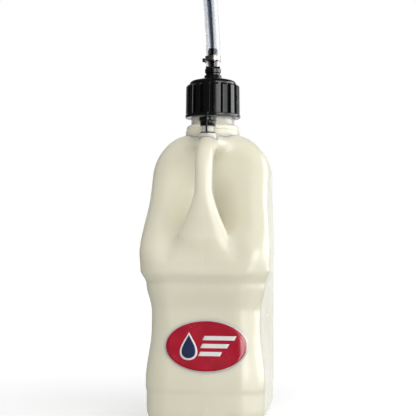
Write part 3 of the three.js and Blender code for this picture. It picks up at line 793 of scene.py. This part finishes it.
def neck_profile():
    """Stepped collar and threaded neck, open through the middle."""
    tier = SHOULDER_TOP + (COLLAR_TOP - SHOULDER_TOP) * 0.48
    step = COLLAR_RADIUS - COLLAR_TIER
    thread = NECK_RADIUS - THREAD_DEPTH
    profile = [
        (NECK_BORE, NECK_BOTTOM),
        (COLLAR_RADIUS - 3, NECK_BOTTOM),
        (COLLAR_RADIUS - 0.6, SHOULDER_TOP - 1),
        (COLLAR_RADIUS, SHOULDER_TOP + 1),
        (COLLAR_RADIUS, tier - 0.8),
        (step, tier + 0.4),
        (step, COLLAR_TOP - 4),
        (step - 3, COLLAR_TOP - 0.8),
        (NECK_RADIUS, COLLAR_TOP),
    ]
    for turn in range(3):
        start = COLLAR_TOP + 24 + turn * THREAD_PITCH
        profile += [(thread, start), (NECK_RADIUS, start + 2)]
        profile += [(NECK_RADIUS, start + 3), (thread, start + 5)]
    return profile + [(thread, NECK_RIM), (NECK_BORE, NECK_RIM)]


def spout_profile():
    """Pad on the handle's bridge and the vent spout on it, open through the middle."""
    return [
        (VENT_BORE, VENT_PAD - 10),
        (VENT_PAD_RADIUS + 1.5, VENT_PAD - 10),
        (VENT_PAD_RADIUS, VENT_PAD),
        (VENT_RADIUS, VENT_PAD + 0.2),
        (VENT_RADIUS, VENT_RIM),
        (VENT_BORE, VENT_RIM),
    ]


# Caps

def rib_shape(phase):
    """Height of a flat-topped rib across its pitch, from 0 to 1."""
    return 1 - smoothstep(0.25, 0.35, np.abs(phase))


def make_main_cap(material):
    """Skirt with flat grip ribs, bottom flange, rounded edge, domed top and boss."""
    flank = np.array([0.12, 0.25, 0.27, 0.285, 0.3, 0.315, 0.33, 0.35, 0.42])
    per_rib = np.concatenate([[-0.5], -flank[::-1], [0.0], flank])
    phase = np.tile(per_rib, CAP_RIBS)
    places = [i + CAP_RIB_TURN + per_rib for i in range(CAP_RIBS)]
    angles = np.concatenate([place * 2 * math.pi / CAP_RIBS for place in places])
    edge = CAP_TOP - CAP_DOME
    outer = [(CAP_SKIRT_RADIUS - 2, CAP_BASE), (CAP_FLANGE_RADIUS - 1, CAP_BASE)]
    outer += [(CAP_FLANGE_RADIUS, CAP_BASE + 1), (CAP_FLANGE_RADIUS, CAP_FLANGE_TOP - 1.2)]
    outer += [(CAP_FLANGE_RADIUS - 1, CAP_FLANGE_TOP), (CAP_SKIRT_RADIUS, CAP_FLANGE_TOP)]
    for height in np.linspace(CAP_FLANGE_TOP + 0.3, edge - 6, 6):
        outer.append((CAP_SKIRT_RADIUS, height))
    for below in (4.5, 3.5, 2.6, 1.8, 1, 0):
        outer.append((CAP_SKIRT_RADIUS, edge - below))
    for angle in np.linspace(0.2, 1.25, 8):
        radius = CAP_SKIRT_RADIUS - CAP_ROUNDING + CAP_ROUNDING * math.cos(angle)
        outer.append((radius, edge + CAP_ROUNDING * math.sin(angle)))
    outer += [(CAP_SKIRT_RADIUS - 9, edge + 6.6), (28, edge + 7.5)]
    outer += [(BOSS_RADIUS + 2.4, CAP_TOP), (BOSS_RADIUS + 0.6, CAP_TOP + 0.4)]
    outer += [(BOSS_RADIUS, CAP_TOP + 1.4), (BOSS_RADIUS, BOSS_TOP - 1)]
    outer += [(BOSS_RADIUS - 0.4, BOSS_TOP - 0.3), (BOSS_RADIUS - 1.2, BOSS_TOP)]
    inner = [(BOSS_BORE, BOSS_TOP), (BOSS_BORE, CAP_INSIDE), (CAP_BORE, CAP_INSIDE), (CAP_BORE, CAP_BASE)]
    rings = []
    for radius, height in outer:
        reach = 0.0
        if radius == CAP_SKIRT_RADIUS and height > CAP_FLANGE_TOP - 0.1:
            rise = (height - CAP_FLANGE_TOP) / (edge - CAP_FLANGE_TOP)
            flare = CAP_RIB_HEIGHT + CAP_RIB_FLARE * (1 - rise)
            fall = np.clip((edge - 1 - height) / 4, 0, 1)
            reach = flare * math.sqrt(1 - (1 - fall) ** 2)
        rings.append(level_ring(radius + reach * rib_shape(phase), angles, height))
    for radius, height in inner:
        rings.append(level_ring(radius, angles, height))
    cap = loft("screw_cap", rings, [material], closed=True)
    face_outwards(cap)
    crease(cap, 38)
    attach(cap, "cap")
    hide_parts("main_cap")


def crease(obj, degrees):
    """Smooth shading that keeps edges sharper than the angle."""
    obj.data.set_sharp_from_angle(angle=math.radians(degrees))


def make_vent_cap(material):
    """Small cap with a lobed grip over a plain skirt."""
    base = VENT_RIM - 8
    low = VENT_TOP - VENT_FLANGE_HEIGHT
    angles = np.linspace(0, 2 * math.pi, VENT_LOBES * 12, endpoint=False)
    lobes = 0.5 + 0.5 * np.cos(angles * VENT_LOBES)
    flange = VENT_FLANGE_RADIUS
    inside = VENT_RADIUS + 0.5
    # Radius, height and share of the lobes
    outer = [(VENT_CAP_RADIUS - 0.6, base, 0), (VENT_CAP_RADIUS, base + 0.6, 0)]
    outer += [(VENT_CAP_RADIUS, low - 1, 0), (VENT_CAP_RADIUS + 0.2, low - 0.5, 0.1)]
    outer += [(flange - 1.2, low, 0.7), (flange - 0.9, low + 0.5, 1)]
    outer += [(flange - 0.9, VENT_TOP - 1.4, 1), (flange - 1.3, VENT_TOP - 0.6, 0.8)]
    outer += [(flange - 2.2, VENT_TOP - 0.1, 0.3), (flange - 3.4, VENT_TOP, 0), (0.3, VENT_TOP, 0)]
    inner = [(0.3, VENT_TOP - 4, 0), (inside, VENT_TOP - 4, 0), (inside, base, 0)]
    rings = []
    for radius, height, share in outer + inner:
        reach = VENT_LOBE_HEIGHT * share * lobes
        rings.append(level_ring(radius + reach, angles, height, -VENT_OFFSET))
    cap = loft("vent_cap_grip", rings, [material], closed=True)
    face_outwards(cap)
    crease(cap, 50)
    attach(cap, "vent")
    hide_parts("vent_cap")


def make_tether(material):
    """Moulded strap: ring round the spout, band up in front of the cap, loop over to a disc on top."""
    hole, rim = VENT_RADIUS + 0.3, 12.2
    foot = turned(
        "tether_ring",
        [(hole, VENT_PAD + 0.3), (rim, VENT_PAD + 0.3), (rim, VENT_PAD + 2.3), (hole, VENT_PAD + 2.3)],
        [material],
        segments=72,
        edge=0.8,
        centre=(0, -VENT_OFFSET),
    )
    low, crest, disc = VENT_PAD + 2.3, VENT_TOP + 8, VENT_TOP + 0.3
    route = [
        (-10.8, low - 1),
        (-15.6, low - 0.4),
        (-17.2, low + 5),
        (-17.2, VENT_TOP - 4),
        (-14.7, crest - 3),
        (-7, crest - 0.4),
        (1, crest - 1),
        (4.6, crest - 3.6),
        (4, disc + 1.2),
        (1.5, disc + 0.8),
    ]
    path, _ = catmull_rom([(0, y - VENT_OFFSET, z) for y, z in route], 80)
    along = np.gradient(path, axis=0)
    along /= np.linalg.norm(along, axis=1)[:, None]
    angles = np.linspace(0, 2 * math.pi, 16, endpoint=False)
    rings = []
    for point, way in zip(path, along):
        normal = np.array([0, way[2], -way[1]])
        ring = point + np.outer(STRAP_HALF_THICKNESS * squarer(np.sin(angles), STRAP_POWER), normal)
        ring[:, 0] += STRAP_HALF_WIDTH * squarer(np.cos(angles), STRAP_POWER)
        rings.append(ring)
    strap = loft("tether_strap", rings, [material])
    face_outwards(strap)
    button = turned(
        "tether_disc",
        [(0.2, disc), (6, disc), (6, disc + 1.4), (0.2, disc + 1.4)],
        [material],
        segments=48,
        edge=0.5,
        centre=(0, -VENT_OFFSET),
    )
    tether = join([foot, strap, button], "tether")
    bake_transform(tether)
    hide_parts("vent_tether")


# Barb and clamp

def make_barb(material):
    """Hollow tail with three ridges in the hose, a flange on the boss and a foot through the cap."""
    flange = 571.6
    top = HOSE_START - 0.3
    foot, bottom, seat = 10, 545, BOSS_TOP + 0.3
    bore, ridge, stem, tip = 6, 9.0, 7.8, HOSE_START + 32.7
    profile = [(bore, bottom), (foot, bottom), (foot, seat), (11.7, seat), (11.7, flange)]
    profile += [(13.3, flange + 1), (13.3, top - 1.2), (12.1, top)]
    for lift in (8, 17, 26):
        profile += [(stem, top + lift - 8), (stem, top + lift - 0.1), (ridge, top + lift)]
        if lift < 26:
            profile.append((stem, top + lift + 7))
    profile += [(stem - 0.6, tip), (bore, tip)]
    barb = turned("barb", profile, [material], segments=96, edge=0.5)
    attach(barb, "cap")
    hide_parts("hose_barb")


def make_band(material):
    """Clamp strip with rolled edges."""
    low, high = CLAMP_BOTTOM, CLAMP_BOTTOM + CLAMP_WIDTH
    profile = [
        (12.3, low),
        (13.2, low),
        (13.2, low + 1.0),
        (12.95, low + 1.4),
        (12.95, high - 1.4),
        (13.2, high - 1.0),
        (13.2, high),
        (12.3, high),
    ]
    band = turned("clamp_strip", profile, [material], segments=96, edge=0.25)
    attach(band, "cap")
    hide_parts("clamp_band")
    return band


def soften(node, material, width):
    """A CAD piece gets its material and a small radius on its edges."""
    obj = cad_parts[node]
    obj.data.materials.clear()
    obj.data.materials.append(material)
    edges = obj.modifiers.new("edges", "BEVEL")
    edges.width = width * MM
    edges.segments = 3
    edges.limit_method = "ANGLE"
    edges.angle_limit = math.radians(30)
    edges.harden_normals = True
    return obj


# Label

def oval(width, height):
    angles = np.linspace(0, 2 * math.pi, 96, endpoint=False)
    return np.stack([width / 2 * np.cos(angles), height / 2 * np.sin(angles)], 1)


def drop_outline(width, height, x, z):
    """A fuel drop, pointed at the top."""
    angles = np.linspace(0, 2 * math.pi, 72, endpoint=False)
    taper = np.sin(angles / 2) ** 1.5
    return np.stack([x - width / 2 * np.sin(angles) * taper * 1.3, z + height / 2 * np.cos(angles)], 1)


def bar_outline(length, height, slant, x, z):
    """A slanted bar, with points along its sides so that it follows the jug's front."""
    corners = [(0, 0), (length, 0), (length + slant, height), (slant, height)]
    sides = []
    for (x0, z0), (x1, z1) in zip(corners, corners[1:] + corners[:1]):
        for t in np.linspace(0, 1, 14, endpoint=False):
            sides.append((x + x0 + (x1 - x0) * t, z + z0 + (z1 - z0) * t))
    return np.array(sides)


def film(name, outline, lift, thickness, material, bands=14):
    """A thin sheet of the given outline, laid on the jug's moulded front."""
    middle = outline.mean(axis=0)
    rings = []
    back = (lift, np.linspace(0.02, 1, bands))
    front = (lift + thickness, np.linspace(1, 0.02, bands))
    for level, shares in (back, front):
        for share in shares:
            flat = middle + (outline - middle) * share
            x = flat[:, 0] + LABEL_SHIFT
            z = flat[:, 1] + LABEL_CENTRE
            rings.append(np.stack([x, front_at(x, z) - level, z], 1))
    sheet = loft(name, rings, [material])
    face_outwards(sheet)
    return sheet


def make_label(silver, red, navy, white):
    """Oval sticker: pale edge, red field, and a plain drop with three bars."""
    field = oval(LABEL_WIDTH - LABEL_EDGE, LABEL_HEIGHT - LABEL_EDGE)
    sheets = [
        film("label_edge", oval(LABEL_WIDTH, LABEL_HEIGHT), 0.25, 0.25, silver),
        film("label_field", field, 0.52, 0.06, red),
        film("drop_rim", drop_outline(30, 43, -27, 0), 0.6, 0.05, white, 8),
        film("drop_fill", drop_outline(24, 36, -27, -0.6), 0.67, 0.05, navy, 8),
    ]
    for row, (length, start) in enumerate([(50, 0), (42, -3), (34, -6)]):
        outline = bar_outline(length, 6.5, 3.2, start - 6, 9 - row * 12)
        sheets.append(film(f"bar_{row}", outline, 0.6, 0.05, white, 6))
    sticker = join(sheets, "sticker")
    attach(sticker, "jug")
    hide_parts("label")


# Light, floor and backdrop

COOL = (0.94, 0.97, 1)
SLIGHTLY_COOL = (0.96, 0.98, 1)
BACKDROP_EDGE = 0.8  # least Y of a direction that shows the backdrop


def area_light(name, location, target, width, height, power, colour=(1, 1, 1)):
    """A rectangular lamp that faces the target; power is in watts."""
    data = bpy.data.lights.new(name, "AREA")
    data.shape = "RECTANGLE"
    data.size = width
    data.size_y = height
    data.energy = power
    data.color = colour
    obj = bpy.data.objects.new(name, data)
    bpy.context.scene.collection.objects.link(obj)
    obj.location = location
    obj.rotation_euler = (Vector(target) - Vector(location)).to_track_quat("-Z", "Y").to_euler()
    return obj


def around(azimuth, distance, height):
    """A place round the jug; azimuth 0 is in front of it, 90 on its right."""
    angle = math.radians(azimuth)
    return (distance * math.sin(angle), -distance * math.cos(angle), height)


def make_light():
    """A tall window on the right, softer lamps round the jug, and a white backdrop behind it."""
    middle = (0, 0, 0.3)
    area_light("window", around(68, 2.3, 0.6), (0, 0, 0.28), 1.2, 2.2, 19, COOL)
    near = area_light("window_near", around(38, 2.5, 0.6), (0, 0, 0.28), 1.4, 2.4, 50)
    far = area_light("window_far", around(107, 2.0, 0.7), middle, 1.74, 1.8, 50)
    side = area_light("side", around(112, 2.4, 0.5), middle, 1.2, 2.2, 9, SLIGHTLY_COOL)
    panel = area_light("panel", around(-15, 2.6, 0.35), middle, 1.9, 1.2, 8)
    top = area_light("top", (0.4, -1.1, 1.8), (0, 0, 0.35), 1.4, 1.4, 15)
    # The window's two ends only show in gloss; side, panel and top only lift the shade.
    near.visible_diffuse = False
    far.visible_diffuse = False
    panel.visible_glossy = False
    top.visible_glossy = False
    side.visible_glossy = False
    world = bpy.data.worlds.new("studio")
    bpy.context.scene.world = world
    world.use_nodes = True
    nodes, links = world.node_tree.nodes, world.node_tree.links
    background = nodes["Background"]
    path = nodes.new("ShaderNodeLightPath")
    # Gloss shows the white backdrop behind the jug and the dim room before it;
    # the clear hose shows white all round.
    where = nodes.new("ShaderNodeTexCoord")
    split = nodes.new("ShaderNodeSeparateXYZ")
    links.new(where.outputs["Generated"], split.inputs["Vector"])
    behind = calculate(nodes, links, "GREATER_THAN", split.outputs["Y"], BACKDROP_EDGE)
    mirrored = calculate(nodes, links, "MULTIPLY", path.outputs["Is Glossy Ray"], behind)
    shown = calculate(nodes, links, "MAXIMUM", mirrored, path.outputs["Is Transmission Ray"])
    white = calculate(nodes, links, "MAXIMUM", path.outputs["Is Camera Ray"], shown)
    dim = calculate(nodes, links, "MULTIPLY", path.outputs["Is Glossy Ray"], AMBIENT - AMBIENT_GLOSS)
    room = calculate(nodes, links, "SUBTRACT", AMBIENT, dim)
    links.new(calculate(nodes, links, "MAXIMUM", white, room), background.inputs["Color"])
    background.inputs["Strength"].default_value = 1.0


def make_floor():
    """Pale floor: it keeps the soft shadow near the jug and runs out to plain white."""
    half = FLOOR_HALF
    corners = [(-half, -half, 0), (half, -half, 0), (half, half, 0), (-half, half, 0)]
    mesh = bpy.data.meshes.new("floor")
    mesh.from_pydata(corners, [], [(0, 1, 2, 3)])
    floor = bpy.data.objects.new("floor", mesh)
    floor.visible_glossy = False
    bpy.context.scene.collection.objects.link(floor)
    material, nodes, links, shader = new_material("floor_white")
    speck = noise(nodes, links, 20, detail=3)
    links.new(ramp(nodes, links, speck, [(0.3, 0.9), (0.7, 0.93)]), shader.inputs["Base Color"])
    shader.inputs["Roughness"].default_value = 0.85
    # Seen by the camera or through the hose, the floor brightens away from the jug.
    where = nodes.new("ShaderNodeTexCoord")
    reach = nodes.new("ShaderNodeVectorMath")
    reach.operation = "LENGTH"
    links.new(where.outputs["Object"], reach.inputs[0])
    share = calculate(nodes, links, "DIVIDE", reach.outputs["Value"], GLOW_REACH)
    glow = ramp(nodes, links, share, [(0.12, 0.4), (0.7, 0.9)])
    path = nodes.new("ShaderNodeLightPath")
    rays = (path.outputs["Is Camera Ray"], path.outputs["Is Transmission Ray"])
    seen = calculate(nodes, links, "MAXIMUM", *rays)
    links.new(glow, shader.inputs["Emission Color"])
    links.new(seen, shader.inputs["Emission Strength"])
    mesh.materials.append(material)


# Scene

def main():
    make_camera()
    black = black_plastic("black_moulding")
    steel = steel_material()
    rubber = rubber_material()
    hose, path, length = make_hose(clear_pvc())
    band = make_band(steel)
    housing = soften("clamp_housing", steel, 0.35)
    screw = soften("clamp_screw", steel, 0.25)
    make_barb(black)
    make_main_cap(black)
    make_vent_cap(black)
    make_tether(black_plastic("soft_tether", (0.34, 0.5)))
    soften("barb_lock_nut", black, 0.4)
    soften("cap_gasket", rubber, 0.4)
    soften("vent_gasket", rubber, 0.3)
    make_body(hdpe_material())
    make_label(
        print_ink("label_silver", (0.72, 0.70, 0.68), (0.60, 0.58, 0.57)),
        print_ink("label_red", (0.50, 0.003, 0.028), (0.38, 0.002, 0.018)),
        print_ink("label_navy", (0.02, 0.03, 0.10), (0.012, 0.02, 0.07)),
        print_ink("label_white", (0.85, 0.85, 0.84), (0.78, 0.77, 0.76)),
    )
    make_light()
    make_floor()


scene = bpy.context.scene
scene.view_settings.view_transform = "Standard"
main()
